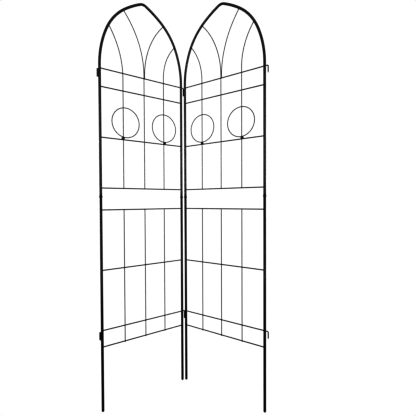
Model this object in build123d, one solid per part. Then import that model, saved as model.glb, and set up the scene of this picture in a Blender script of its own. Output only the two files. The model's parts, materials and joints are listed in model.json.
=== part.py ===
from build123d import *
import os
from math import acos, cos, degrees, radians, sin

# A free-standing garden trellis of welded steel: two panels with pointed tops, hung on each other
# by hooks so that they stand as a V. Each panel splits at a joint into an upper and a lower section.
# The frame is +Z up, +X to the right, with the V opening towards -Y. All sizes are in millimetres.

# Overall sizes of one panel
overall_height = 2200
leg_spacing = 507
opening_angle = 108

# Stock
tube_od = 13
tube_wall = 1
crossbar_dia = 5
upright_dia = 3.8

# Heights above the ground
crossbar_heights = {1: 1786, 2: 1692.5, 3: 1432, 4: 1170, 5: 1056, 6: 741.5, 7: 426.5, 8: 340}
hook_bars = (1, 7)
joint_height = 1124.5
ring_height = 1524.5

# The pointed arch: two arcs, then a flatter one up to a tight bend at the point.
# Each arc has its radius and the angle from the vertical at which it ends.
arch_side = ((505, 22.2), (330, 52.8))
arch_top_radius = 550
arch_point_radius = 41

# Rings and curved uprights are set by hand, so they differ a little from panel to panel.
ring_radius = 79.5
panels = {
    "left": {
        "ring_shift": {"outer": 17, "hinge": 6},
        "bends": {"outer": (470, 1761), "hinge": (292, 1812), "centre": (490, 1800), "branch": (453, 1799)},
    },
    "right": {
        "ring_shift": {"hinge": -2, "outer": -8},
        "bends": {"hinge": (331, 1802), "outer": (367, 1814), "centre": (468, 1797), "branch": (557, 1795)},
    },
}
bend_sweep = 50

# Hooks and the sleeves they drop into
hook_reach = 18.75
hook_depth = 36
hook_bend = 5.5
hook_tip_chamfer = 0.8
sleeve_od = 8.5
sleeve_id = 5.5
sleeve_length = 40
sleeve_drop = 6
hole_clearance = 0.1

# Joiners between the sections, and the plugs that close the feet
joiner_length = 74
joiner_wall = 1.3
joiner_clearance = 0.2
bead_od = 18.3
bead_height = 7
bead_shoulder = 0.6
lead_in = 1.2
foot_height = 7
foot_flat = 6
foot_shoulder = (5.72, 2.24)
foot_plug = 14

# Values worked out from the sizes above
tube_r = tube_od / 2
bore_r = tube_r - tube_wall
upright_offset = (crossbar_dia + upright_dia) / 2
ring_offset = upright_offset - upright_dia
end_overhang = crossbar_dia / 2 + 0.2
quarter = leg_spacing / 4
middle = leg_spacing / 2
joint_top = joint_height + bead_height / 2
joint_bottom = joint_height - bead_height / 2
sleeve_reach = tube_r + sleeve_od / 2
window_depth = 60


def turn_right(point, radius, start_angle, end_angle):
    """The end of an arc that turns right; angles are between the path and the vertical."""
    a = radians(start_angle)
    b = radians(end_angle)
    return point[0] + radius * (cos(a) - cos(b)), point[1] + radius * (sin(b) - sin(a))


def half_arch(foot, spring):
    """The left half of the arch's centre line, from the foot of the leg to the point."""
    line = Line((0, foot), (0, spring))
    point = (0, spring)
    angle = 0
    for radius, end_angle in arch_side:
        line += JernArc(line @ 1, line % 1, radius, angle - end_angle)
        point = turn_right(point, radius, angle, end_angle)
        angle = end_angle
    centre_x = point[0] + arch_top_radius * cos(radians(angle))
    top_angle = degrees(acos((centre_x - middle) / (arch_top_radius - arch_point_radius)))
    line += JernArc(line @ 1, line % 1, arch_top_radius, angle - top_angle)
    line += JernArc(line @ 1, line % 1, arch_point_radius, top_angle - 90)
    return line


def arch_line(foot, spring):
    """The whole centre line of the arch, in the panel's plane."""
    left = half_arch(foot, spring)
    right = mirror(left, about=Plane.YZ.offset(middle))
    return Wire([Plane.XZ * edge for edge in left.edges() + right.edges()])


def swept(path, section):
    return sweep(Plane(path @ 0, z_dir=path % 0) * section, path=path)


def rod(path, diameter):
    return swept(path, Circle(diameter / 2))


def tube(path):
    return swept(path, Circle(tube_r) - Circle(bore_r))


def straight_rod(start, end, diameter):
    return rod(Wire([Line(start, end)]), diameter)


def leg_solid(x, bottom, top):
    """The full round of a leg, used to cope the wires that meet it."""
    return Pos(x, 0, bottom) * Cylinder(tube_r, top - bottom, align=(Align.CENTER, Align.CENTER, Align.MIN))


def hook_hole(height):
    """The cross hole in the right-hand leg that a hook bar is passed through."""
    reach = tube_od * 2
    hole = Cylinder(crossbar_dia / 2 + hole_clearance, reach)
    return Pos(leg_spacing, 0, height) * Rot(0, 90, 0) * hole


def plain_crossbar(height):
    """A crossbar coped to both legs."""
    bar = straight_rod((0, 0, height), (leg_spacing, 0, height), crossbar_dia)
    for x in (0, leg_spacing):
        bar -= leg_solid(x, height - tube_od, height + tube_od)
    return bar


def hook_crossbar(height):
    """A crossbar that runs on through the right-hand leg and turns down into a hook."""
    bend_start = leg_spacing + hook_reach - hook_bend
    line = Line((0, height), (bend_start, height))
    line += JernArc(line @ 1, line % 1, hook_bend, -90)
    line += Line(line @ 1, (leg_spacing + hook_reach, height - hook_depth))
    bar = rod(Wire([Plane.XZ * edge for edge in line.edges()]), crossbar_dia)
    tip = bar.edges().sort_by(Axis.Z)[0]
    bar = chamfer(tip, hook_tip_chamfer)
    return bar - leg_solid(0, height - tube_od, height + tube_od)


def bent_upright(x, bottom, bend, side):
    """A wire that stands up from a crossbar and bends over to meet the arch.

    bend is its radius and the height where it starts; side is -1 to lean left and 1 to lean right.
    """
    radius, bend_height = bend
    line = Line((x, bottom), (x, bend_height))
    line += JernArc(line @ 1, line % 1, radius, -side * bend_sweep)
    return Pos(0, -upright_offset, 0) * rod(Wire([Plane.XZ * edge for edge in line.edges()]), upright_dia)


def straight_upright(x, bottom, top):
    return straight_rod((x, -upright_offset, bottom), (x, -upright_offset, top), upright_dia)


def ring(x):
    """A ring of wire that stands behind an upright and touches it top and bottom."""
    return Pos(x, -ring_offset, ring_height) * Rot(90, 0, 0) * Torus(ring_radius, upright_dia / 2)


def sleeve(height):
    """A short tube on the left-hand leg that takes a hook hung from this crossbar's height."""
    profile = Circle(sleeve_od / 2) - Circle(sleeve_id / 2)
    top = height - sleeve_drop
    return Pos(-sleeve_reach, 0, top - sleeve_length) * extrude(profile, sleeve_length)


def turned(outline):
    """A solid turned round +Z from a closed outline in the XZ plane."""
    return revolve(Plane.XZ * make_face(outline), Axis.Z)


def joiner():
    """A spigot with a raised bead: tight in the lower leg, free in the upper one."""
    half = joiner_length / 2
    rim = bead_height / 2
    inner = bore_r - joiner_wall
    tip = inner + joiner_clearance
    edge = tube_r + bead_shoulder
    outline = Polyline((inner, -half), (tip, -half), (bore_r, -half + lead_in), (bore_r, -rim), (edge, -rim))
    outline += ThreePointArc((edge, -rim), (bead_od / 2, 0), (edge, rim))
    free_r = bore_r - joiner_clearance
    outline += Polyline((edge, rim), (free_r, rim), (free_r, half - lead_in),
                        (tip, half), (inner, half), (inner, -half))
    return Pos(0, 0, joint_height) * turned(outline)


def foot_cap():
    """A domed plug in the bottom of a leg, with a small flat to stand on."""
    outline = Polyline((0, 0), (foot_flat / 2, 0))
    outline += ThreePointArc((foot_flat / 2, 0), foot_shoulder, (tube_r, foot_height))
    outline += Polyline((tube_r, foot_height), (bore_r, foot_height), (bore_r, foot_height + foot_plug),
                        (0, foot_height + foot_plug), (0, 0))
    return turned(outline)


def lower_leg(x, drilled):
    profile = Circle(tube_r) - Circle(bore_r)
    leg = Pos(x, 0, foot_height) * extrude(profile, joint_bottom - foot_height)
    for number in hook_bars:
        height = crossbar_heights[number]
        if drilled and height < joint_height:
            leg -= hook_hole(height)
    return leg


def upper_section(name, hand, spring):
    """The parts of one panel above its joint, in the panel's own frame."""
    left_side = "outer" if name == "left" else "hinge"
    right_side = "hinge" if name == "left" else "outer"
    path = arch_line(joint_top, spring)
    arch = tube(path)
    outline = rod(path, tube_od)
    opening = make_face(path.edges() + [Line(path @ 0, path @ 1)])
    window = Pos(0, window_depth / 2, 0) * extrude(opening, window_depth, dir=(0, -1, 0))
    lowest = crossbar_heights[4] - end_overhang

    def trimmed(wire):
        return (wire & window) - outline

    parts = {"arch_tube": arch - hook_hole(crossbar_heights[1])}
    for number in (1, 2, 3, 4):
        build = hook_crossbar if number in hook_bars else plain_crossbar
        parts[f"crossbar_{number}"] = build(crossbar_heights[number])
    bends = hand["bends"]
    parts[f"upright_{left_side}_upper"] = trimmed(bent_upright(quarter, lowest, bends[left_side], -1))
    parts["upright_centre_upper"] = trimmed(bent_upright(middle, lowest, bends["centre"], -1))
    parts[f"upright_{right_side}_upper"] = trimmed(bent_upright(3 * quarter, lowest, bends[right_side], 1))
    branch_foot = crossbar_heights[1] - end_overhang
    branch = bent_upright(middle + upright_dia, branch_foot, bends["branch"], 1)
    parts["centre_branch"] = trimmed(branch)
    parts[f"ring_{left_side}"] = ring(quarter + hand["ring_shift"][left_side])
    parts[f"ring_{right_side}"] = ring(3 * quarter + hand["ring_shift"][right_side])
    parts["sleeve_upper"] = sleeve(crossbar_heights[1])
    return parts


def lower_section(name):
    """The parts of one panel below its joint, in the panel's own frame."""
    left_side = "outer" if name == "left" else "hinge"
    right_side = "hinge" if name == "left" else "outer"
    sides = {left_side: 0, right_side: leg_spacing}
    parts = {}
    for side, x in sides.items():
        parts[f"leg_{side}"] = lower_leg(x, drilled=side == right_side)
        parts[f"joiner_{side}"] = Pos(x, 0, 0) * joiner()
        parts[f"foot_cap_{side}"] = Pos(x, 0, 0) * foot_cap()
    for number in (5, 6, 7, 8):
        build = hook_crossbar if number in hook_bars else plain_crossbar
        parts[f"crossbar_{number}"] = build(crossbar_heights[number])
    bottom = crossbar_heights[8] - end_overhang
    top = crossbar_heights[5] + end_overhang
    for side, x in ((left_side, quarter), ("centre", middle), (right_side, 3 * quarter)):
        parts[f"upright_{side}_lower"] = straight_upright(x, bottom, top)
    parts["sleeve_lower"] = sleeve(crossbar_heights[7])
    return parts


# The arch springs from the legs at the height that brings its point to the overall height.
rise = half_arch(0, 1).bounding_box().max.Y - 1
spring_height = overall_height - tube_r - rise

# Both panels hang on one upright axis: the left one by its hooks, the right one by its sleeves.
lean = 90 - opening_angle / 2
places = {
    "left": Rot(0, 0, lean) * Pos(-(leg_spacing + hook_reach), 0, 0),
    "right": Rot(0, 0, -lean) * Pos(sleeve_reach, 0, 0),
}
nodes = {}
for name, hand in panels.items():
    parts = upper_section(name, hand, spring_height) | lower_section(name)
    for label, part in parts.items():
        nodes[f"{name}_{label}"] = places[name] * part

# The origin is at the middle of the whole object's footprint, on the ground.
box = Compound(children=[Compound(part.wrapped) for part in nodes.values()]).bounding_box()
centre = box.center()
hinge_axis = Vector(-centre.X, -centre.Y, 0)
os.makedirs("parts", exist_ok=True)
for label, part in nodes.items():
    moved = Pos(hinge_axis.X, hinge_axis.Y, 0) * part
    export_step(moved, f"parts/{label}.step")
print(f"hinge axis at x {hinge_axis.X:.3f}, y {hinge_axis.Y:.3f}; height {box.max.Z:.2f}")
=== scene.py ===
import json
import math
import bmesh
import bpy
from mathutils import Matrix, Vector, noise


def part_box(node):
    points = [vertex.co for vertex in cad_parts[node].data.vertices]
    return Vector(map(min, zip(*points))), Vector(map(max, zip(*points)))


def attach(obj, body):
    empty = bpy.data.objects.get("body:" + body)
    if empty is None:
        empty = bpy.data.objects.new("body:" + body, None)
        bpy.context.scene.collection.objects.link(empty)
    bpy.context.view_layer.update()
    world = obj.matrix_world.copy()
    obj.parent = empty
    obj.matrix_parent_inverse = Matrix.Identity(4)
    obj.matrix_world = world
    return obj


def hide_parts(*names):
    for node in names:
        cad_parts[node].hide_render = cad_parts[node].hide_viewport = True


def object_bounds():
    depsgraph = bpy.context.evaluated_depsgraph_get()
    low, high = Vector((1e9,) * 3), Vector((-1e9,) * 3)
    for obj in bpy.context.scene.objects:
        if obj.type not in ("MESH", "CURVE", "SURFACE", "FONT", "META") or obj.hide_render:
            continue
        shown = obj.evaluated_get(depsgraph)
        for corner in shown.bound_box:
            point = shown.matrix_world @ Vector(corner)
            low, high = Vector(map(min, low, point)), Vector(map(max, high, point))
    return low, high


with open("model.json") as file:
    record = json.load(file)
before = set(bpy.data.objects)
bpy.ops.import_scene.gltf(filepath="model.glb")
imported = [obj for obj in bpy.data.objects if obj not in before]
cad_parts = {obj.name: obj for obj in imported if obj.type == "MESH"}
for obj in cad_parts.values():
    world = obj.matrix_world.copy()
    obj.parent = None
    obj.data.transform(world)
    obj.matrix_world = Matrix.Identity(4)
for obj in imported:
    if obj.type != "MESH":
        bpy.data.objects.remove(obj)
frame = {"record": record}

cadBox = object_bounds()
mounts = {mount["name"]: mount for mount in frame["record"]["mounts"]}
bodyOf = {node: body for body, nodes in frame["record"]["behaviour"]["bodies"].items() for node in nodes}
print("frame loaded:", len(bodyOf), "nodes")


# small helpers for node trees

def addNode(tree, kind, inputs=None, **settings):
    node = tree.nodes.new(kind)
    for key, value in settings.items():
        setattr(node, key, value)
    for key, value in (inputs or {}).items():
        if isinstance(value, bpy.types.NodeSocket):
            tree.links.new(value, node.inputs[key])
        else:
            node.inputs[key].default_value = value
    return node


def newGroup(name, kind, inputs, outputs):
    # inputs and outputs are lists of (name, socket type, default)
    tree = bpy.data.node_groups.new(name, kind)
    for direction, sockets in (("INPUT", inputs), ("OUTPUT", outputs)):
        for label, socketType, default in sockets:
            socket = tree.interface.new_socket(name=label, in_out=direction, socket_type=socketType)
            if default is not None:
                socket.default_value = default
    return tree, tree.nodes.new("NodeGroupInput").outputs, tree.nodes.new("NodeGroupOutput").inputs


def calc(tree, operation, first, second):
    return addNode(tree, "ShaderNodeMath", {0: first, 1: second}, operation=operation).outputs[0]


# finishes

coat = {
    "colour": (0.0170, 0.0175, 0.0200, 1.0),
    "bloom": (0.0290, 0.0300, 0.0345, 1.0),   # the paler, chalkier patches of the powder
    "roughness": 0.40,
    "smoother": 0.07,          # how far the roughness falls between the patches
    "rougher": 0.09,           # and rises in them
    "peelScale": 620.0,        # orange peel, bumps to the metre
    "peelDepth": 0.00006,
    "peelStrength": 0.5,
    "patchScale": 9.0,
    "specular": 0.36,
    "wireSpecular": 0.20,      # the thin wires take a drier coat
    "dust": (0.16, 0.15, 0.13, 1.0),
    "dustRoughness": 0.85,
    "steel": (0.30, 0.29, 0.28, 1.0),
    "steelRoughness": 0.32,
}

plugPlastic = {
    "colour": (0.0065, 0.0065, 0.0070, 1.0),
    "paler": (0.0143, 0.0143, 0.0147, 1.0),
    "roughness": (0.44, 0.62),
    "grainScale": 2400.0,
    "grainDepth": 0.00004,
    "grainStrength": 0.4,
    "patchScale": 60.0,
    "specular": 0.30,
}


def grainGroup():
    # fine skin of a moulded or powdered surface: a height for the bump, and a slow patch mask
    tree, given, result = newGroup("surfaceGrain", "ShaderNodeTree",
        [("Fine scale", "NodeSocketFloat", 600.0), ("Patch scale", "NodeSocketFloat", 9.0)],
        [("Height", "NodeSocketFloat", None), ("Patches", "NodeSocketFloat", None)])
    place = addNode(tree, "ShaderNodeTexCoord").outputs["Object"]
    fine = addNode(tree, "ShaderNodeTexNoise",
        {"Vector": place, "Scale": given["Fine scale"], "Detail": 3.0, "Roughness": 0.45})
    pits = addNode(tree, "ShaderNodeTexVoronoi", {"Vector": place, "Scale": given["Fine scale"]})
    pitDepth = calc(tree, "MULTIPLY", pits.outputs["Distance"], 0.35)
    height = calc(tree, "ADD", fine.outputs["Fac"], pitDepth)
    slow = addNode(tree, "ShaderNodeTexNoise",
        {"Vector": place, "Scale": given["Patch scale"], "Detail": 4.0, "Roughness": 0.6, "Distortion": 0.4})
    patches = addNode(tree, "ShaderNodeMapRange",
        {"Value": slow.outputs["Fac"], "From Min": 0.38, "From Max": 0.68}, interpolation_type="SMOOTHSTEP")
    tree.links.new(height, result["Height"])
    tree.links.new(patches.outputs["Result"], result["Patches"])
    return tree


def dustGroup():
    # dust that lies on whatever faces up, broken up by noise
    tree, given, result = newGroup("restingDust", "ShaderNodeTree",
        [("Amount", "NodeSocketFloat", 0.3)], [("Mask", "NodeSocketFloat", None)])
    normal = addNode(tree, "ShaderNodeNewGeometry").outputs["Normal"]
    up = addNode(tree, "ShaderNodeSeparateXYZ", {0: normal})
    facing = addNode(tree, "ShaderNodeMapRange",
        {"Value": up.outputs["Z"], "From Min": 0.35, "From Max": 0.95}, interpolation_type="SMOOTHSTEP")
    place = addNode(tree, "ShaderNodeTexCoord").outputs["Object"]
    specks = addNode(tree, "ShaderNodeTexNoise", {"Vector": place, "Scale": 160.0, "Detail": 5.0})
    broken = addNode(tree, "ShaderNodeMapRange",
        {"Value": specks.outputs["Fac"], "From Min": 0.40, "From Max": 0.72})
    mask = calc(tree, "MULTIPLY", facing.outputs["Result"], broken.outputs["Result"])
    tree.links.new(calc(tree, "MULTIPLY", mask, given["Amount"]), result["Mask"])
    return tree


def rubGroup():
    # where metal rubs on metal the powder wears through; "rubbed" is stored on the piece, 0 to 1
    tree, given, result = newGroup("rubbedThrough", "ShaderNodeTree",
        [("Amount", "NodeSocketFloat", 0.5)], [("Mask", "NodeSocketFloat", None)])
    rubbed = addNode(tree, "ShaderNodeAttribute", attribute_name="rubbed").outputs["Fac"]
    place = addNode(tree, "ShaderNodeTexCoord").outputs["Object"]
    scratch = addNode(tree, "ShaderNodeTexNoise",
        {"Vector": place, "Scale": 420.0, "Detail": 6.0, "Roughness": 0.7})
    level = calc(tree, "SUBTRACT", 1.0, calc(tree, "MULTIPLY", rubbed, given["Amount"]))
    over = calc(tree, "SUBTRACT", scratch.outputs["Fac"], level)
    mask = addNode(tree, "ShaderNodeMapRange", {"Value": over, "From Min": 0.0, "From Max": 0.06})
    tree.links.new(mask.outputs["Result"], result["Mask"])
    return tree


grain = grainGroup()
dust = dustGroup()
rub = rubGroup()


def mixColour(tree, mask, first, second):
    node = addNode(tree, "ShaderNodeMix", {0: mask, 6: first, 7: second}, data_type="RGBA")
    return node.outputs[2]


def mixValue(tree, mask, first, second):
    return addNode(tree, "ShaderNodeMix", {0: mask, 2: first, 3: second}, data_type="FLOAT").outputs[0]


def newMaterial(name):
    material = bpy.data.materials.new(name)
    material.use_nodes = True
    tree = material.node_tree
    return material, tree, tree.nodes["Principled BSDF"]


def powderCoat(name, dustAmount, rubAmount=0.0, gloss=0.0, peel=1.0, specular=coat["specular"]):
    # gloss makes the places between the patches shinier; peel makes the orange peel finer
    material, tree, shader = newMaterial(name)
    skin = addNode(tree, "ShaderNodeGroup", node_tree=grain)
    skin.inputs["Fine scale"].default_value = coat["peelScale"] * peel
    skin.inputs["Patch scale"].default_value = coat["patchScale"]
    lying = addNode(tree, "ShaderNodeGroup", node_tree=dust)
    lying.inputs["Amount"].default_value = dustAmount
    colour = mixColour(tree, skin.outputs["Patches"], coat["colour"], coat["bloom"])
    colour = mixColour(tree, lying.outputs["Mask"], colour, coat["dust"])
    low = coat["roughness"] - coat["smoother"] - gloss
    high = coat["roughness"] + coat["rougher"]
    roughness = mixValue(tree, skin.outputs["Patches"], low, high)
    roughness = mixValue(tree, lying.outputs["Mask"], roughness, coat["dustRoughness"])
    if rubAmount:
        worn = addNode(tree, "ShaderNodeGroup", node_tree=rub)
        worn.inputs["Amount"].default_value = rubAmount
        colour = mixColour(tree, worn.outputs["Mask"], colour, coat["steel"])
        roughness = mixValue(tree, worn.outputs["Mask"], roughness, coat["steelRoughness"])
        tree.links.new(worn.outputs["Mask"], shader.inputs["Metallic"])
    bump = addNode(tree, "ShaderNodeBump",
        {"Height": skin.outputs["Height"], "Strength": coat["peelStrength"], "Distance": coat["peelDepth"]})
    tree.links.new(colour, shader.inputs["Base Color"])
    tree.links.new(roughness, shader.inputs["Roughness"])
    tree.links.new(bump.outputs["Normal"], shader.inputs["Normal"])
    shader.inputs["Specular IOR Level"].default_value = specular
    return material


def mouldedPlastic(name):
    material, tree, shader = newMaterial(name)
    skin = addNode(tree, "ShaderNodeGroup", node_tree=grain)
    skin.inputs["Fine scale"].default_value = plugPlastic["grainScale"]
    skin.inputs["Patch scale"].default_value = plugPlastic["patchScale"]
    colour = mixColour(tree, skin.outputs["Patches"], plugPlastic["colour"], plugPlastic["paler"])
    roughness = mixValue(tree, skin.outputs["Patches"], *plugPlastic["roughness"])
    bump = addNode(tree, "ShaderNodeBump", {"Height": skin.outputs["Height"],
        "Strength": plugPlastic["grainStrength"], "Distance": plugPlastic["grainDepth"]})
    tree.links.new(colour, shader.inputs["Base Color"])
    tree.links.new(roughness, shader.inputs["Roughness"])
    tree.links.new(bump.outputs["Normal"], shader.inputs["Normal"])
    shader.inputs["Specular IOR Level"].default_value = plugPlastic["specular"]
    return material


tubeCoat = powderCoat("tubePowderCoat", dustAmount=0.25)
wireCoat = powderCoat("wirePowderCoat", dustAmount=0.35, peel=1.2, specular=coat["wireSpecular"])
rubbedCoat = powderCoat("rubbedPowderCoat", dustAmount=0.3, rubAmount=0.5)
weldCoat = powderCoat("weldPowderCoat", dustAmount=0.3, gloss=0.08, peel=1.6)
plugFinish = mouldedPlastic("mouldedPlug")
print("finishes made")


# each panel's own frame: x runs from its left leg to its right one, depth is towards the front, z is up

class Panel:
    def __init__(self, name):
        self.name = name
        leftSide, rightSide = ("outer", "hinge") if name == "left" else ("hinge", "outer")
        self.start = Vector(mounts[f"foot_{name}_{leftSide}"]["pos_m"])
        end = Vector(mounts[f"foot_{name}_{rightSide}"]["pos_m"])
        self.width = (end - self.start).length
        self.across = (end - self.start).normalized()
        self.front = Vector((self.across.y, -self.across.x, 0))
        self.legs = {leftSide: 0.0, rightSide: self.width}

    def at(self, x, z, depth=0.0):
        return self.start + self.across * x + self.front * depth + Vector((0, 0, z))

    def read(self, node):
        # a node's box, as its middle in the panel's frame and its overall size
        low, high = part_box(f"{self.name}_{node}")
        middle = (low + high) / 2 - self.start
        return middle.dot(self.across), middle.z, middle.dot(self.front), high - low


panels = [Panel("left"), Panel("right")]
tubeRadius = panels[0].read("leg_outer")[3].x / 2
barRadius = panels[0].read("crossbar_3")[3].z / 2
wireRadius = panels[0].read("upright_centre_lower")[3].x / 2

arch = {
    "bends": ((0.505, 22.2), (0.330, 30.6)),   # radius and turn of each arc, from the leg up
    "topRadius": 0.550,
    "pointRadius": 0.041,
    "wall": 0.001,
    "sides": 48,
    "pinch": 0.10,             # how much the tube is squeezed where it is bent to the point
    "pinchReach": 0.034,       # how far to either side of the point
}


def walk(x, z, heading, moves, step=1.5):
    # follows runs and bends in the panel's plane; heading is from straight up, and turns to the right
    points = [(x, z)]
    for radius, amount in moves:
        if radius is None:
            # a point near either end of a run keeps the bend's shading out of it
            across = amount * math.sin(math.radians(heading))
            up = amount * math.cos(math.radians(heading))
            points += [(x + across * share, z + up * share) for share in (0.02, 0.98, 1.0)]
            x, z = points[-1]
            continue
        count = max(2, round(abs(amount) / step))
        side = 1 if amount > 0 else -1
        centreX = x + side * radius * math.cos(math.radians(heading))
        centreZ = z - side * radius * math.sin(math.radians(heading))
        for i in range(1, count + 1):
            angle = math.radians(heading + amount * i / count)
            points.append((centreX - side * radius * math.cos(angle),
                           centreZ + side * radius * math.sin(angle)))
        x, z = points[-1]
        heading += amount
    return points


def archMoves(panel, foot):
    # the flat top arc ends where the tight bend at the point can begin
    x = z = heading = 0.0
    for radius, turn in arch["bends"]:
        x, z = walk(x, z, heading, [(radius, turn)])[-1]
        heading += turn
    centreX = x + arch["topRadius"] * math.cos(math.radians(heading))
    reach = arch["topRadius"] - arch["pointRadius"]
    topHeading = math.degrees(math.acos((centreX - panel.width / 2) / reach))
    side = list(arch["bends"]) + [(arch["topRadius"], topHeading - heading)]
    point = [(arch["pointRadius"], 180 - 2 * topHeading)]
    rise = max(z for x, z in walk(0, 0, 0, side + point))
    run = cadBox[1].z - tubeRadius - rise - foot
    return [(None, run)] + side + point + side[::-1] + [(None, run)]


# paths swept into tubes and wires

def vectorCalc(tree, operation, first, second):
    place = "Scale" if operation == "SCALE" else 1
    return addNode(tree, "ShaderNodeVectorMath", {0: first, place: second}, operation=operation).outputs[0]


def sweepTree():
    tree, given, result = newGroup("sweepAlongPath", "GeometryNodeTree",
        [("Geometry", "NodeSocketGeometry", None),
         ("Radius", "NodeSocketFloat", 0.002),
         ("Sides", "NodeSocketInt", 16),
         ("Chamfer", "NodeSocketFloat", 0.0003),
         ("Closed ends", "NodeSocketBool", True),
         ("Pinch", "NodeSocketFloat", 0.0),
         ("Pinch reach", "NodeSocketFloat", 0.03),
         ("Front", "NodeSocketVector", (0, -1, 0)),
         ("Material", "NodeSocketMaterial", None)],
        [("Geometry", "NodeSocketGeometry", None)])
    along = addNode(tree, "GeometryNodeSplineParameter").outputs["Length"]
    whole = addNode(tree, "GeometryNodeSplineLength").outputs["Length"]
    fromEnd = calc(tree, "MINIMUM", along, calc(tree, "SUBTRACT", whole, along))
    # the cut ends are a little rounded over
    endRadius = calc(tree, "SUBTRACT", 1.0, calc(tree, "DIVIDE", given["Chamfer"], given["Radius"]))
    rounded = addNode(tree, "ShaderNodeMapRange",
        {"Value": fromEnd, "From Max": given["Chamfer"], "To Min": endRadius})
    shaped = addNode(tree, "GeometryNodeSetCurveRadius",
        {"Curve": given["Geometry"], "Radius": rounded.outputs["Result"]})
    # squeeze is 1 at the middle of the path and fades out to either side
    fromMiddle = calc(tree, "SUBTRACT", along, calc(tree, "MULTIPLY", whole, 0.5))
    off = addNode(tree, "ShaderNodeMath", {0: fromMiddle}, operation="ABSOLUTE").outputs[0]
    squeeze = addNode(tree, "ShaderNodeMapRange",
        {"Value": off, "From Max": given["Pinch reach"], "To Min": 1.0, "To Max": 0.0},
        interpolation_type="SMOOTHSTEP").outputs["Result"]
    kept = addNode(tree, "GeometryNodeCaptureAttribute", {0: shaped.outputs[0]})
    kept.capture_items.new("VECTOR", "Centre")
    kept.capture_items.new("FLOAT", "Squeeze")
    tree.links.new(addNode(tree, "GeometryNodeInputPosition").outputs[0], kept.inputs["Centre"])
    tree.links.new(calc(tree, "MULTIPLY", squeeze, given["Pinch"]), kept.inputs["Squeeze"])
    profile = addNode(tree, "GeometryNodeCurvePrimitiveCircle",
        {"Resolution": given["Sides"], "Radius": given["Radius"]})
    swept = addNode(tree, "GeometryNodeCurveToMesh", {"Curve": kept.outputs["Geometry"],
        "Profile Curve": profile.outputs[0], "Fill Caps": given["Closed ends"]})
    # in the panel's plane the section is squeezed, and across it the section spreads by half as much
    spot = addNode(tree, "GeometryNodeInputPosition").outputs[0]
    offset = vectorCalc(tree, "SUBTRACT", spot, kept.outputs["Centre"])
    ahead = vectorCalc(tree, "PROJECT", offset, given["Front"])
    flat = vectorCalc(tree, "SUBTRACT", offset, ahead)
    amount = kept.outputs["Squeeze"]
    narrow = vectorCalc(tree, "SCALE", flat, calc(tree, "MULTIPLY", amount, -1.0))
    wide = vectorCalc(tree, "SCALE", ahead, calc(tree, "MULTIPLY", amount, 0.5))
    move = vectorCalc(tree, "ADD", narrow, wide)
    moved = addNode(tree, "GeometryNodeSetPosition", {"Geometry": swept.outputs[0], "Offset": move})
    smooth = addNode(tree, "GeometryNodeSetShadeSmooth", {"Geometry": moved.outputs[0]})
    real = addNode(tree, "GeometryNodeRealizeInstances", {"Geometry": smooth.outputs[0]})
    painted = addNode(tree, "GeometryNodeSetMaterial",
        {"Geometry": real.outputs[0], "Material": given["Material"]})
    tree.links.new(painted.outputs[0], result["Geometry"])
    return tree


def baked(source, tree, values, name):
    # runs a node tree on an object and keeps the result as a plain mesh object of its own
    modifier = source.modifiers.new("build", "NODES")
    modifier.node_group = tree
    sockets = {item.name: item.identifier for item in tree.interface.items_tree if item.in_out == "INPUT"}
    for label, value in values.items():
        modifier[sockets[label]] = value
    graph = bpy.context.evaluated_depsgraph_get()
    mesh = bpy.data.meshes.new_from_object(source.evaluated_get(graph))
    source.modifiers.remove(modifier)
    bpy.data.objects.remove(source)
    mesh.name = name
    piece = bpy.data.objects.new(name, mesh)
    bpy.context.scene.collection.objects.link(piece)
    return piece


def pathObject(points, closed=False):
    curve = bpy.data.curves.new("path", "CURVE")
    curve.dimensions = "3D"
    spline = curve.splines.new("POLY")
    spline.points.add(len(points) - 1)
    for point, place in zip(spline.points, points):
        point.co = (*place, 1)
    spline.use_cyclic_u = closed
    holder = bpy.data.objects.new("path", curve)
    bpy.context.scene.collection.objects.link(holder)
    return holder


def withEnds(points, chamfer):
    # extra points where the rounded ends begin
    first = points[0] + (points[1] - points[0]).normalized() * chamfer
    last = points[-1] + (points[-2] - points[-1]).normalized() * chamfer
    return [points[0], first] + points[1:-1] + [last, points[-1]]


def pieceName(node):
    words = node.split("_")
    return words[0] + "".join(word.capitalize() for word in words[1:])


def settle(piece, node):
    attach(piece, bodyOf[node])
    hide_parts(node)
    return piece


def sweep(panel, node, points, radius, sides, material, chamfer=0.0, depth=0.0, closed=False, **extra):
    places = [panel.at(x, z, depth) for x, z in points]
    if chamfer:
        places = withEnds(places, chamfer)
    values = {"Radius": radius, "Sides": sides, "Chamfer": max(chamfer, 1e-6), "Closed ends": bool(chamfer),
              "Front": tuple(panel.front), "Material": material, **extra}
    name = f"{panel.name}_{node}"
    return settle(baked(pathObject(places, closed), sweepGroup, values, pieceName(name)), name)


def markRubbed(piece, amountAt):
    # stores how rubbed each point is, for the finish to wear through
    layer = piece.data.attributes.new("rubbed", "FLOAT", "POINT")
    layer.data.foreach_set("value", [max(0.0, min(1.0, amountAt(v.co))) for v in piece.data.vertices])


def ramp(value, start, end):
    t = max(0.0, min(1.0, (value - start) / (end - start)))
    return t * t * (3 - 2 * t)


def giveWall(tube):
    wall = tube.modifiers.new("wall", "SOLIDIFY")
    wall.thickness = arch["wall"]
    wall.offset = -1


sweepGroup = sweepTree()
archPaths = {}
for panel in panels:
    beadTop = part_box(f"{panel.name}_arch_tube")[0].z
    archPaths[panel.name] = walk(0, beadTop, 0, archMoves(panel, beadTop))
    giveWall(sweep(panel, "arch_tube", archPaths[panel.name], tubeRadius, arch["sides"], tubeCoat,
                   **{"Pinch": arch["pinch"], "Pinch reach": arch["pinchReach"]}))
    for side, x in panel.legs.items():
        low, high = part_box(f"{panel.name}_leg_{side}")
        giveWall(sweep(panel, f"leg_{side}", [(x, low.z), (x, high.z)], tubeRadius, arch["sides"], tubeCoat))
print("tubes made")

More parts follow.
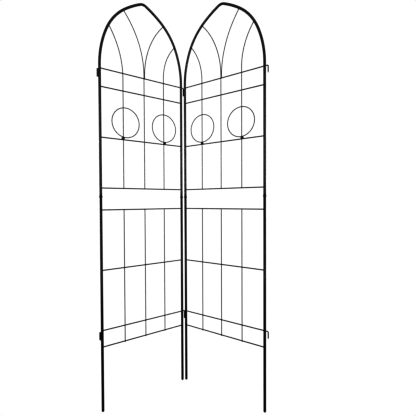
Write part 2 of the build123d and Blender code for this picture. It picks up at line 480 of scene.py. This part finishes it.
crossbar = {
    "sides": 24,
    "bury": 0.00075,           # how far a wire runs into the tube it is welded to
    "hookBars": (1, 7),
    "hookBend": 0.0055,
    "hookStep": 9,             # degrees between the points of a hook's bend
    "hookRuns": 8,             # short runs down the hook, for the wear to change along
    "chamfer": 0.0007,
    "rub": 0.45,               # wear along the hook, and the rest of it at the tip
    "rubTip": 0.006,
}


def hookBar(panel, node, start, bottom):
    # out through the right-hand leg and down into a hook, worn where it rubs in its sleeve
    hook = mounts["outer_hook_upper"]
    outerLeg = panels[1].at(panels[1].width, hook["pos_m"][2])
    reach = (Vector(hook["pos_m"]) - outerLeg).length
    bend = crossbar["hookBend"]
    run = panel.width + reach - bend - start[0]
    drop = start[1] - bend - bottom
    shortRuns = [(None, drop / crossbar["hookRuns"])] * crossbar["hookRuns"]
    points = walk(*start, 90, [(None, run), (bend, 90), *shortRuns], step=crossbar["hookStep"])
    bar = sweep(panel, node, points, barRadius, crossbar["sides"], rubbedCoat, crossbar["chamfer"])
    legEnd = panel.at(panel.width, 0)

    def worn(spot):
        outward = ramp((spot - legEnd).dot(panel.across), tubeRadius, reach)
        tip = ramp(bottom + crossbar["rubTip"] - spot.z, 0, crossbar["rubTip"])
        return outward * (crossbar["rub"] + (1 - crossbar["rub"]) * tip)

    markRubbed(bar, worn)


for panel in panels:
    for number in range(1, 9):
        node = f"crossbar_{number}"
        low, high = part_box(f"{panel.name}_{node}")
        z = high.z - barRadius
        start = (tubeRadius - crossbar["bury"], z)
        if number in crossbar["hookBars"]:
            hookBar(panel, node, start, low.z)
        else:
            end = (panel.width - start[0], z)
            sweep(panel, node, [start, end], barRadius, crossbar["sides"], wireCoat, crossbar["chamfer"])
print("crossbars made")

upright = {
    "sides": 20,
    "chamfer": 0.0004,
    "ringStep": 2.5,           # degrees between the points of a ring
    "search": 60,              # the most that a wire may bend before it meets the arch
    "searchStep": 0.05,
    "bendStep": 1.0,
    "bends": {                 # radius, and the height where the bend starts
        "left": {
            "outer": (0.470, 1.761),
            "centre": (0.490, 1.800),
            "branch": (0.453, 1.799),
            "hinge": (0.292, 1.812),
        },
        "right": {
            "hinge": (0.331, 1.802),
            "centre": (0.468, 1.797),
            "branch": (0.557, 1.795),
            "outer": (0.367, 1.814),
        },
    },
}


def distanceTo(path, x, z):
    best = 1.0
    for (ax, az), (bx, bz) in zip(path, path[1:]):
        dx, dz = bx - ax, bz - az
        t = max(0.0, min(1.0, ((x - ax) * dx + (z - az) * dz) / (dx * dx + dz * dz)))
        best = min(best, math.hypot(x - ax - t * dx, z - az - t * dz))
    return best


def sweepWire(panel, node, points, depth):
    sweep(panel, node, points, wireRadius, upright["sides"], wireCoat, upright["chamfer"], depth)


def bentUpright(panel, side, x, lean, depth):
    # stands up from its crossbar and bends on until it runs into the arch
    node = "centre_branch" if side == "branch" else f"upright_{side}_upper"
    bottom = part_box(f"{panel.name}_{node}")[0].z
    radius, bendHeight = upright["bends"][panel.name][side]
    fine = walk(x, bendHeight, 0, [(radius, lean * upright["search"])], step=upright["searchStep"])
    nearest = min(range(len(fine)), key=lambda i: distanceTo(archPaths[panel.name], *fine[i]))
    bendAngle = lean * upright["search"] * nearest / (len(fine) - 1)
    moves = [(None, bendHeight - bottom), (radius, bendAngle)]
    points = walk(x, bottom, 0, moves, step=upright["bendStep"])
    bendTops[panel.name, side] = points[-2:]
    sweepWire(panel, node, points, depth)


bendTops = {}
for panel in panels:
    uprightDepth = panel.read("upright_centre_lower")[2]
    places = {side: panel.width * (0.25 if x == 0 else 0.75) for side, x in panel.legs.items()}
    places["centre"] = panel.width / 2
    places["branch"] = panel.width / 2 + 2 * wireRadius
    for side, x in places.items():
        bentUpright(panel, side, x, 1 if x > panel.width / 2 else -1, uprightDepth)
        if side != "branch":
            node = f"upright_{side}_lower"
            low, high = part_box(f"{panel.name}_{node}")
            sweepWire(panel, node, [(x, low.z), (x, high.z)], uprightDepth)
    for side in ("outer", "hinge"):
        x, z, ringDepth, size = panel.read(f"ring_{side}")
        radius = size.z / 2 - wireRadius
        points = walk(x - radius, z, 0, [(radius, 360)], step=upright["ringStep"])[:-1]
        sweep(panel, f"ring_{side}", points, wireRadius, upright["sides"], wireCoat,
              depth=ringDepth, closed=True)
print("uprights and rings made")


# turned pieces: sleeves, joiners and foot plugs

def filleted(corners, closed, steps=4):
    # corners are (radius, height, fillet); each fillet becomes a few points of a quadratic curve
    points = []
    count = len(corners)
    for i, (r, z, fillet) in enumerate(corners):
        here = Vector((r, z))
        if not fillet or (not closed and i in (0, count - 1)):
            points.append(here)
            continue
        before = Vector(corners[i - 1][:2])
        after = Vector(corners[(i + 1) % count][:2])
        start = here + (before - here).normalized() * fillet
        end = here + (after - here).normalized() * fillet
        for s in range(steps + 1):
            t = s / steps
            points.append(start * (1 - t) ** 2 + here * 2 * t * (1 - t) + end * t ** 2)
    return points


def spaced(points, gap, closed):
    # extra points along the long straight stretches, for finishes that change from point to point
    result = []
    ends = points[1:] + points[:1] if closed else points[1:]
    for start, end in zip(points, ends):
        count = math.ceil((end - start).length / gap)
        result += [start.lerp(end, i / count) for i in range(count)]
    return result if closed else result + [points[-1]]


def meshPiece(mesh, name, material):
    data = bpy.data.meshes.new(name)
    mesh.to_mesh(data)
    mesh.free()
    data.shade_smooth()
    data.materials.append(material)
    piece = bpy.data.objects.new(name, data)
    bpy.context.scene.collection.objects.link(piece)
    return piece


def turned(node, corners, centre, sides, material, gap=0.004):
    # spins an outline of (radius, height) round the upright line through centre
    closed = all(corner[0] > 0 for corner in corners)      # a piece with a bore has no points on the line
    outline = spaced(filleted(corners, closed), gap, closed)
    mesh = bmesh.new()
    verts = [mesh.verts.new((point.x, 0, point.y)) for point in outline]
    edges = [mesh.edges.new(pair) for pair in zip(verts, verts[1:])]
    if closed:
        edges.append(mesh.edges.new((verts[-1], verts[0])))
    bmesh.ops.spin(mesh, geom=verts + edges, axis=(0, 0, 1), cent=(0, 0, 0), angle=math.tau, steps=sides)
    bmesh.ops.remove_doubles(mesh, verts=mesh.verts, dist=1e-6)
    bmesh.ops.recalc_face_normals(mesh, faces=mesh.faces)
    bmesh.ops.translate(mesh, verts=mesh.verts, vec=centre)
    piece = meshPiece(mesh, pieceName(node), material)
    piece.data.set_sharp_from_angle(angle=math.radians(40))
    return settle(piece, node)


sleevePlan = {
    "outer": 0.00425,
    "inner": 0.00275,
    "rim": 0.0005,
    "sides": 40,
    "rub": 0.8,
    "rubLength": 0.004,
}

for panel in panels:
    for level in ("upper", "lower"):
        x, z, depth, size = panel.read(f"sleeve_{level}")
        half = size.z / 2
        outer, inner, rim = sleevePlan["outer"], sleevePlan["inner"], sleevePlan["rim"]
        corners = [(inner, -half, rim), (outer, -half, rim), (outer, half, rim), (inner, half, rim)]
        place = panel.at(x, z, depth)
        piece = turned(f"{panel.name}_sleeve_{level}", corners, place, sleevePlan["sides"], rubbedCoat)
        rubFrom = half - sleevePlan["rubLength"]
        markRubbed(piece, lambda spot: sleevePlan["rub"] * ramp(abs(spot.z - z), rubFrom, half))
print("sleeves made")

joinerPlan = {
    "wall": 0.0013,
    "clearance": 0.0002,       # between the spigot and the upper leg
    "lead": 0.0012,
    "tip": 0.0003,             # the flat that is left of the wall at either end
    "seatGap": 0.00004,        # keeps the bead off the tubes' cut ends by a hair
    "swell": 0.00915,          # radius of the raised bead
    "swellAt": 0.45,           # its fullest places, as a share of its half height
    "shoulder": 0.0072,
    "shoulderFillet": 0.0003,
    "beadFillet": 0.0016,
    "groove": 0.0004,          # a shallow ring rolled round the middle of the bead
    "grooveFillet": 0.0008,
    "sides": 48,
    "rub": 0.55,               # wear where the upper leg slides on
}

footPlan = {
    "flat": 0.0030,
    "flatFillet": 0.0006,
    "belly": (0.0056, 0.0019, 0.0022),   # radius, height and fillet
    "lip": 0.0067,
    "lipHeight": 0.0007,
    "lipFillet": 0.0002,
    "barbs": (0.25, 0.5, 0.75),          # how far up the shank each of them is
    "barb": 0.00022,
    "barbRise": (0.001, 0.0004),         # its slope below and above
    "topFillet": 0.0012,
    "sides": 48,
}


def joiner(panel, side, x):
    # a spigot with a raised bead, tight in the lower leg and free in the upper one
    plan = joinerPlan
    node = f"{panel.name}_joiner_{side}"
    low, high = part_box(node)
    half = (high.z - low.z) / 2
    middle = (low.z + high.z) / 2
    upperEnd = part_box(f"{panel.name}_arch_tube")[0].z
    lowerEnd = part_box(f"{panel.name}_leg_{side}")[1].z
    rim = (upperEnd - lowerEnd) / 2 - plan["seatGap"]
    loose = boreRadius - plan["clearance"]
    bore = boreRadius - plan["wall"]
    tip = bore + plan["tip"]
    shoulder, swell, full = plan["shoulder"], plan["swell"], rim * plan["swellAt"]
    corners = [
        (bore, -half, 0),
        (tip, -half, 0),
        (boreRadius, -half + plan["lead"], 0),
        (boreRadius, -rim, 0),
        (shoulder, -rim, plan["shoulderFillet"]),
        (swell, -full, plan["beadFillet"]),
        (swell - plan["groove"], 0, plan["grooveFillet"]),
        (swell, full, plan["beadFillet"]),
        (shoulder, rim, plan["shoulderFillet"]),
        (loose, rim, 0),
        (loose, half - plan["lead"], 0),
        (tip, half, 0),
        (bore, half, 0),
    ]
    piece = turned(node, corners, panel.at(x, middle), plan["sides"], rubbedCoat)
    markRubbed(piece, lambda spot: plan["rub"] * ramp(spot.z - middle, 0, rim))


def footPlug(panel, side, x):
    # a domed plug with barbs on the shank that grips inside the leg
    plan = footPlan
    node = f"{panel.name}_foot_cap_{side}"
    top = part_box(node)[1].z
    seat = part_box(f"{panel.name}_leg_{side}")[0].z
    lip, lipHeight, barb = plan["lip"], plan["lipHeight"], plan["barb"]
    corners = [
        (0, 0, 0),
        (plan["flat"], 0, plan["flatFillet"]),
        plan["belly"],
        (tubeRadius, seat - lipHeight * 2, plan["flatFillet"]),
        (lip, seat - lipHeight, plan["lipFillet"]),
        (lip, seat, plan["lipFillet"]),
        (boreRadius, seat, 0),
    ]
    for share in plan["barbs"]:
        z = seat + (top - seat) * share
        below, above = plan["barbRise"]
        corners.append((boreRadius - barb, z - below, 0))
        corners.append((boreRadius, z, 0))
        corners.append((boreRadius - barb, z + above, 0))
    corners += [(boreRadius - barb, top, plan["topFillet"]), (0, top, 0)]
    turned(node, corners, panel.at(x, 0), plan["sides"], plugFinish)


boreRadius = tubeRadius - arch["wall"]
for panel in panels:
    for side, x in panel.legs.items():
        joiner(panel, side, x)
        footPlug(panel, side, x)
print("joiners and foot plugs made")


# weld beads: small drops laid round every joint, one piece for each body

weld = {
    "seed": 11,
    "drop": 0.0013,            # radius of a drop across the bead
    "spread": (0.82, 1.2),     # smallest and largest, as shares of that
    "stretch": 1.35,
    "flatten": 0.7,
    "segments": 9,
    "rings": 6,
    "ripple": 0.00012,
    "collarDrops": 9,
    "topShare": 0.85,          # the size of the drops where the thin wires meet the arch
    "pitch": 0.0019,           # from one drop to the next along a seam
    "crossDrop": 0.0011,
    "crossSpread": 0.0015,     # from the middle of a crossing to its corner drops
    "sleeveSeam": 0.013,
    "sleeveIn": 0.002,         # from a sleeve's end to its stitch
    "sleeveSide": 0.0021,      # from the middle of the sleeve to the stitch
    "sleeveOut": 0.0002,       # how far the stitch stands off the leg's surface
    "branchSeam": 0.014,
    "branchUp": 0.009,         # the seam's middle, above the branch wire's foot
    "branchSide": 0.0011,
}


def dropTree():
    tree, given, result = newGroup("weldDrops", "GeometryNodeTree",
        [("Geometry", "NodeSocketGeometry", None),
         ("Stretch", "NodeSocketFloat", 1.3),
         ("Flatten", "NodeSocketFloat", 0.7),
         ("Smallest", "NodeSocketFloat", 0.8),
         ("Largest", "NodeSocketFloat", 1.2),
         ("Segments", "NodeSocketInt", 9),
         ("Rings", "NodeSocketInt", 6),
         ("Seed", "NodeSocketInt", 1),
         ("Ripple", "NodeSocketFloat", 0.0001),
         ("Material", "NodeSocketMaterial", None)],
        [("Geometry", "NodeSocketGeometry", None)])

    def stored(name, kind="FLOAT_VECTOR"):
        node = addNode(tree, "GeometryNodeInputNamedAttribute", {"Name": name}, data_type=kind)
        return node.outputs["Attribute"]

    standing = addNode(tree, "FunctionNodeAlignRotationToVector", {"Vector": stored("outward")}, axis="Z")
    aimed = addNode(tree, "FunctionNodeAlignRotationToVector",
        {"Rotation": standing.outputs[0], "Vector": stored("along")}, axis="X", pivot_axis="Z")
    vary = addNode(tree, "FunctionNodeRandomValue",
        {"Seed": given["Seed"], 2: given["Smallest"], 3: given["Largest"]}, data_type="FLOAT")
    size = calc(tree, "MULTIPLY", stored("size", "FLOAT"), vary.outputs[1])
    long = calc(tree, "MULTIPLY", size, given["Stretch"])
    thick = calc(tree, "MULTIPLY", size, given["Flatten"])
    scale = addNode(tree, "ShaderNodeCombineXYZ", {"X": long, "Y": size, "Z": thick})
    ball = addNode(tree, "GeometryNodeMeshUVSphere",
        {"Segments": given["Segments"], "Rings": given["Rings"], "Radius": 1.0})
    drops = addNode(tree, "GeometryNodeInstanceOnPoints", {"Points": given["Geometry"],
        "Instance": ball.outputs[0], "Rotation": aimed.outputs[0], "Scale": scale.outputs[0]})
    real = addNode(tree, "GeometryNodeRealizeInstances", {"Geometry": drops.outputs[0]})
    uneven = addNode(tree, "ShaderNodeTexNoise", {"Scale": 700.0, "Detail": 2.0}).outputs["Fac"]
    lift = calc(tree, "MULTIPLY", calc(tree, "SUBTRACT", uneven, 0.5), given["Ripple"])
    push = vectorCalc(tree, "SCALE", addNode(tree, "GeometryNodeInputNormal").outputs[0], lift)
    rough = addNode(tree, "GeometryNodeSetPosition", {"Geometry": real.outputs[0], "Offset": push})
    smooth = addNode(tree, "GeometryNodeSetShadeSmooth", {"Geometry": rough.outputs[0]})
    painted = addNode(tree, "GeometryNodeSetMaterial",
        {"Geometry": smooth.outputs[0], "Material": given["Material"]})
    tree.links.new(painted.outputs[0], result["Geometry"])
    return tree


weldSpots = {body: [] for body in frame["record"]["behaviour"]["bodies"]}


def addDrop(panel, level, place, outward, along, size):
    weldSpots[f"{panel.name}_{level}"].append((place, outward.normalized(), along.normalized(), size))


def collar(panel, level, centre, direction):
    # a ring of drops where a bar meets a leg; centre is on the leg's axis
    sideways = direction.cross(upAxis).normalized()
    upward = sideways.cross(direction).normalized()
    for i in range(weld["collarDrops"]):
        angle = math.tau * i / weld["collarDrops"]
        radial = upward * math.cos(angle) + sideways * math.sin(angle)
        across = barRadius * math.sin(angle)
        place = centre + direction * math.sqrt(tubeRadius ** 2 - across ** 2) + radial * barRadius
        addDrop(panel, level, place, direction + radial, radial.cross(direction), weld["drop"])


def archCollar(panel, x, z, depth, heading, tubeAxis):
    # a ring of drops where a thin wire runs into the arch from below, in front of the tube's middle
    slant = heading.cross(tubeAxis).length
    sideways = heading.cross(panel.front).normalized()
    for i in range(weld["collarDrops"]):
        angle = math.tau * i / weld["collarDrops"]
        radial = sideways * math.cos(angle) + panel.front * math.sin(angle)
        depthHere = depth + wireRadius * math.sin(angle)
        back = math.sqrt(tubeRadius ** 2 - depthHere ** 2) / slant
        place = panel.at(x, z, depth) - heading * back + radial * wireRadius
        size = weld["drop"] * weld["topShare"]
        addDrop(panel, "upper", place, radial - heading, radial.cross(heading), size)


def crossing(panel, level, x, z, depth):
    # four little drops in the corners where one wire is welded across another
    spread = weld["crossSpread"]
    for sx in (-1, 1):
        for sz in (-1, 1):
            place = panel.at(x + sx * spread, z + sz * spread, depth)
            outward = panel.front + panel.across * sx
            addDrop(panel, level, place, outward, panel.across * sx + upAxis * sz, weld["crossDrop"])


def seam(panel, level, x, z, depth, length, outward):
    # a row of drops, one over another
    count = max(2, round(length / weld["pitch"]))
    for i in range(count + 1):
        place = panel.at(x, z - length / 2 + length * i / count, depth)
        addDrop(panel, level, place, outward, upAxis, weld["drop"])


ringTack = {
    "halfWidth": 0.0096,
    "halfDepth": 0.0031,
    "bite": 0.0012,            # how far it runs into the ring above and the bar below
    "subdivisions": 4,
    "lumps": 0.06,
    "lumpScale": 1.1,
    "lumpShift": 100,          # makes each of them a lump of its own
    "offsets": {               # from the upright, to the right
        "left": {"outer": 0.0, "hinge": 0.008},
        "right": {"hinge": -0.003, "outer": 0.0},
    },
}


def tackWeld(panel, side, x, below, above, depth):
    # the heavy lump of weld that stands a ring on the bar under it
    centre = panel.at(x, (below + above) / 2, depth)
    halfHeight = (above - below) / 2 + ringTack["bite"]
    mesh = bmesh.new()
    bmesh.ops.create_icosphere(mesh, subdivisions=ringTack["subdivisions"], radius=1.0)
    for vert in mesh.verts:
        way = vert.co.copy()
        where = way * ringTack["lumpScale"] + centre * ringTack["lumpShift"]
        reach = (panel.across * way.x * ringTack["halfWidth"]
                 + panel.front * way.y * ringTack["halfDepth"]
                 + upAxis * way.z * halfHeight)
        vert.co = centre + reach * (1 + ringTack["lumps"] * noise.noise(where))
    bmesh.ops.recalc_face_normals(mesh, faces=mesh.faces)
    piece = meshPiece(mesh, pieceName(f"{panel.name}_ring_weld_{side}"), weldCoat)
    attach(piece, f"{panel.name}_upper")


def weldBars(panel, uprightPlaces, touching):
    for number in range(1, 9):
        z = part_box(f"{panel.name}_crossbar_{number}")[1].z - barRadius
        level = "upper" if z > jointHeight else "lower"
        collar(panel, level, panel.at(0, z), panel.across)
        collar(panel, level, panel.at(panel.width, z), -panel.across)
        if number in crossbar["hookBars"]:
            collar(panel, level, panel.at(panel.width, z), panel.across)
        for x in uprightPlaces:
            crossing(panel, level, x, z, touching)


def weldTops(panel, depth):
    # where the thin wires run into the arch, each along its own way
    for side in ("outer", "hinge", "centre", "branch"):
        (ax, az), (bx, bz) = bendTops[panel.name, side]
        heading = (panel.across * (bx - ax) + upAxis * (bz - az)).normalized()
        path = archPaths[panel.name]
        nearest = min(zip(path, path[1:]), key=lambda pair: math.hypot(pair[0][0] - bx, pair[0][1] - bz))
        (cx, cz), (dx, dz) = nearest
        tubeAxis = (panel.across * (dx - cx) + upAxis * (dz - cz)).normalized()
        archCollar(panel, bx, bz, depth, heading, tubeAxis)


def weldRings(panel, uprightPlaces, touching):
    # to the upright in front of them and down to the bar under them
    for side in ("outer", "hinge"):
        x, z, depth, size = panel.read(f"ring_{side}")
        radius = size.z / 2 - wireRadius
        uprightX = min(uprightPlaces, key=lambda place: abs(place - x))
        rise = math.sqrt(radius ** 2 - (uprightX - x) ** 2)
        for way in (1, -1):
            crossing(panel, "upper", uprightX, z + way * rise, touching)
        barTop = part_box(f"{panel.name}_crossbar_3")[1].z
        spot = uprightX + ringTack["offsets"][panel.name][side]
        above = z - math.sqrt(radius ** 2 - (spot - x) ** 2) - wireRadius
        tackWeld(panel, side, spot, barTop, above, depth / 2)


def weldSleeves(panel):
    # two stitches down each side of where they lie on the leg
    length = weld["sleeveSeam"]
    for level in ("upper", "lower"):
        x, z, depth, size = panel.read(f"sleeve_{level}")
        fromMiddle = size.z / 2 - length / 2 - weld["sleeveIn"]
        for way in (1, -1):
            for end in (1, -1):
                seam(panel, level, -tubeRadius - weld["sleeveOut"], z + end * fromMiddle,
                     way * weld["sleeveSide"], length, panel.front * way)


def weldBranch(panel, depth):
    # the branch wire's foot against the centre wire, down either side
    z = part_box(f"{panel.name}_centre_branch")[0].z + weld["branchUp"]
    for way in (1, -1):
        seam(panel, "upper", panel.width / 2 + wireRadius, z, depth + way * weld["branchSide"],
             weld["branchSeam"], panel.front * way)


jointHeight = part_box("left_arch_tube")[0].z
upAxis = Vector((0, 0, 1))
for panel in panels:
    depth = panel.read("upright_centre_lower")[2]
    uprightPlaces = [panel.width * i / 4 for i in (1, 2, 3)]
    weldBars(panel, uprightPlaces, depth - wireRadius)
    weldTops(panel, depth)
    weldRings(panel, uprightPlaces, depth - wireRadius)
    weldSleeves(panel)
    weldBranch(panel, depth)

dropGroup = dropTree()
for body, spots in weldSpots.items():
    data = bpy.data.meshes.new("spots")
    data.from_pydata([spot[0] for spot in spots], [], [])
    for index, label in ((1, "outward"), (2, "along")):
        layer = data.attributes.new(label, "FLOAT_VECTOR", "POINT")
        layer.data.foreach_set("vector", [c for spot in spots for c in spot[index]])
    layer = data.attributes.new("size", "FLOAT", "POINT")
    layer.data.foreach_set("value", [spot[3] for spot in spots])
    holder = bpy.data.objects.new("spots", data)
    bpy.context.scene.collection.objects.link(holder)
    smallest, largest = weld["spread"]
    piece = baked(holder, dropGroup, {
        "Stretch": weld["stretch"], "Flatten": weld["flatten"], "Smallest": smallest, "Largest": largest,
        "Segments": weld["segments"], "Rings": weld["rings"], "Seed": weld["seed"],
        "Ripple": weld["ripple"], "Material": weldCoat}, pieceName(body + "_welds"))
    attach(piece, body)
print("welds made:", {body: len(spots) for body, spots in weldSpots.items()})


# floor, lights and camera

studio = {
    "floorSize": 12.0,
    "floorShade": 0.08,
    "floorRoughness": 0.9,
    "floorGlow": 0.94,         # as it is seen
    "floorCast": 0.35,         # the glow that the legs get from it
    "surround": 1.015,         # the white all round, as it is seen
    "surroundCast": 0.85,      # the light that it throws
    "contrast": 0.42,
    "boxSize": (0.6, 1.2),
    "boxHeight": 1.85,
    "boxPower": (15, 15, 4, 4),
    "boxSpread": 60,           # degrees; gridded, so that they leave the floor alone
    "boxColour": (0.94, 0.945, 1.0),
    "boxPlaces": ((-2.4, -2.7), (2.4, -2.7), (-2.4, 2.7), (2.4, 2.7)),
}


def floorFinish():
    material, tree, shader = newMaterial("paleFloor")
    shader.inputs["Base Color"].default_value = (studio["floorShade"],) * 3 + (1,)
    shader.inputs["Roughness"].default_value = studio["floorRoughness"]
    shader.inputs["Specular IOR Level"].default_value = 0.0
    shader.inputs["Emission Color"].default_value = (1, 1, 1, 1)
    seen = addNode(tree, "ShaderNodeLightPath").outputs["Is Camera Ray"]
    glow = mixValue(tree, seen, studio["floorCast"], studio["floorGlow"])
    tree.links.new(glow, shader.inputs["Emission Strength"])
    return material


half = studio["floorSize"] / 2
floorMesh = bpy.data.meshes.new("floor")
floorCorners = [(-half, -half, 0), (half, -half, 0), (half, half, 0), (-half, half, 0)]
floorMesh.from_pydata(floorCorners, [], [(0, 1, 2, 3)])
floorMesh.materials.append(floorFinish())
floor = bpy.data.objects.new("floor", floorMesh)
bpy.context.scene.collection.objects.link(floor)

for (x, y), power in zip(studio["boxPlaces"], studio["boxPower"]):
    data = bpy.data.lights.new("softbox", "AREA")
    data.shape = "RECTANGLE"
    data.size, data.size_y = studio["boxSize"]
    data.energy = power
    data.color = studio["boxColour"]
    data.spread = math.radians(studio["boxSpread"])
    lamp = bpy.data.objects.new("softbox", data)
    lamp.location = (x, y, studio["boxHeight"])
    lamp.visible_camera = False
    lamp.rotation_mode = "QUATERNION"
    lamp.rotation_quaternion = Vector((-x, -y, 0)).to_track_quat("-Z", "Y")
    bpy.context.scene.collection.objects.link(lamp)

world = bpy.data.worlds.new("studio")
bpy.context.scene.world = world
world.use_nodes = True
background = world.node_tree.nodes["Background"]
background.inputs["Color"].default_value = (1, 1, 1, 1)
seen = addNode(world.node_tree, "ShaderNodeLightPath").outputs["Is Camera Ray"]
strength = mixValue(world.node_tree, seen, studio["surroundCast"], studio["surround"])
world.node_tree.links.new(strength, background.inputs["Strength"])
bpy.context.scene.view_settings.view_transform = "Standard"
bpy.context.scene.view_settings.gamma = studio["contrast"]

cameraPlan = {
    "place": (0.0302, -1.7609, 1.0948),
    "yaw": 1.055,
    "pitch": -1.087,
    "roll": 0.307,
    "lens": 27.07,
    "sensor": 36.0,
    "shift": 0.0598,
}
cameraData = bpy.data.cameras.new("camera")
cameraData.lens = cameraPlan["lens"]
cameraData.sensor_width = cameraPlan["sensor"]
cameraData.shift_x = cameraPlan["shift"]
camera = bpy.data.objects.new("camera", cameraData)
camera.location = cameraPlan["place"]
turn = (Matrix.Rotation(math.radians(cameraPlan["yaw"]), 3, "Z")
        @ Matrix.Rotation(math.radians(cameraPlan["pitch"]), 3, "X")
        @ Matrix.Rotation(math.radians(cameraPlan["roll"]), 3, "Y")
        @ Matrix.Rotation(math.radians(90), 3, "X"))
camera.rotation_mode = "QUATERNION"
camera.rotation_quaternion = turn.to_quaternion()
bpy.context.scene.collection.objects.link(camera)
bpy.context.scene.camera = camera
print("floor, lights and camera set")
